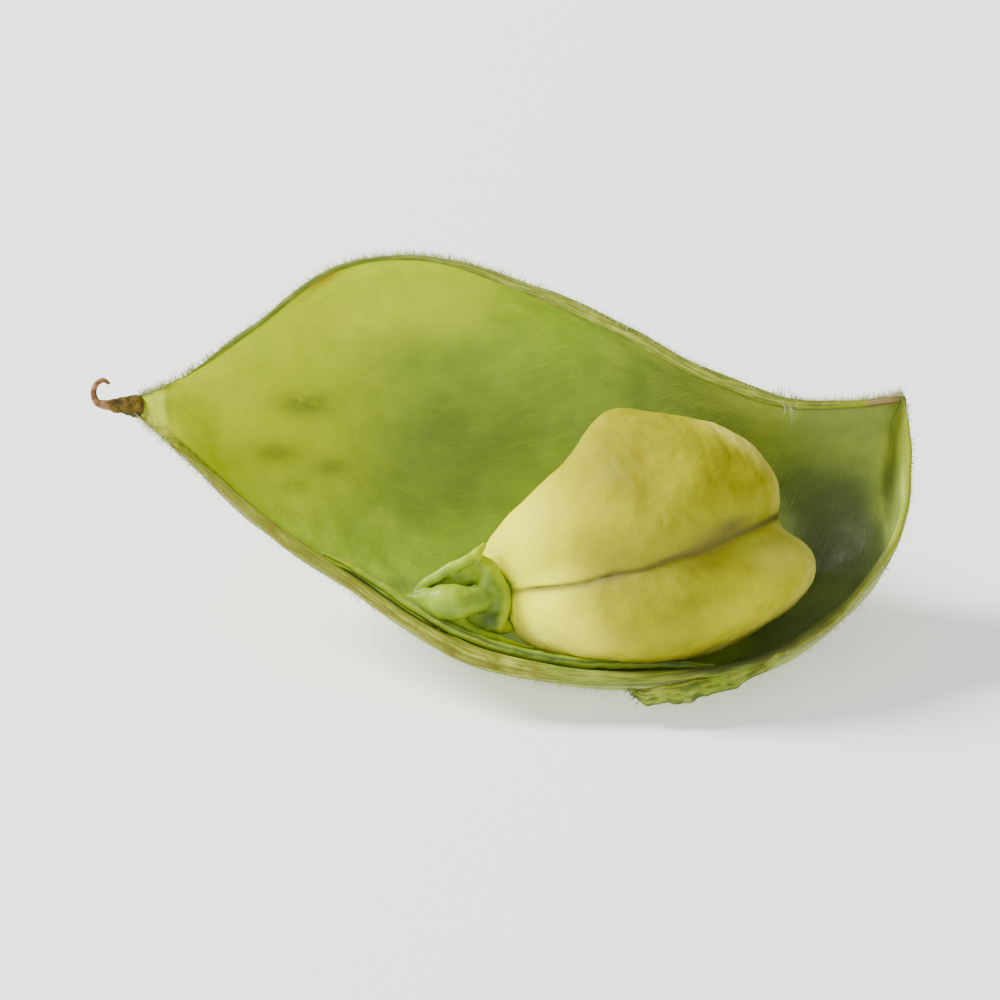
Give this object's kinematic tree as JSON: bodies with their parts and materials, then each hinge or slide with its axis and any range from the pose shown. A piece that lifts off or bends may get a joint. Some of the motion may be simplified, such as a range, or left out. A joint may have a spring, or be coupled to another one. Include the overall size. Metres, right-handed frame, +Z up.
{
  "type": "fresh chickpea pod",
  "caption": "Opened fresh green chickpea pod: one boat-shaped valve with a beaked seed still held on its stalk inside.",
  "frame": {"origin": "bottom centre of the bounding box, on the surface the pod lies on", "axes": "+X along the pod from the beak with the dried style to the corner at the flower stalk, +Z up; the opening faces up and towards -Y"},
  "size_m": [0.029, 0.014, 0.012],
  "materials": {
    "pod_skin": "fresh green pod skin, glossy and smooth inside, matt and finely hairy outside",
    "vein": "moist light green plant tissue, glossy",
    "torn_skin": "torn pod skin, matt and hairy",
    "seed_coat": "yellow-green fresh seed coat, satin",
    "seed_stalk": "moist green plant tissue, very glossy",
    "dried_tissue": "dried brown-olive plant tissue, matt"
  },
  "bodies": {
    "root": {"pod_valve": "pod_skin", "placental_strand": "vein", "torn_margin": "torn_skin", "chickpea": "seed_coat", "funicle": "seed_stalk", "dried_style": "dried_tissue"}
  },
  "joints": []
}
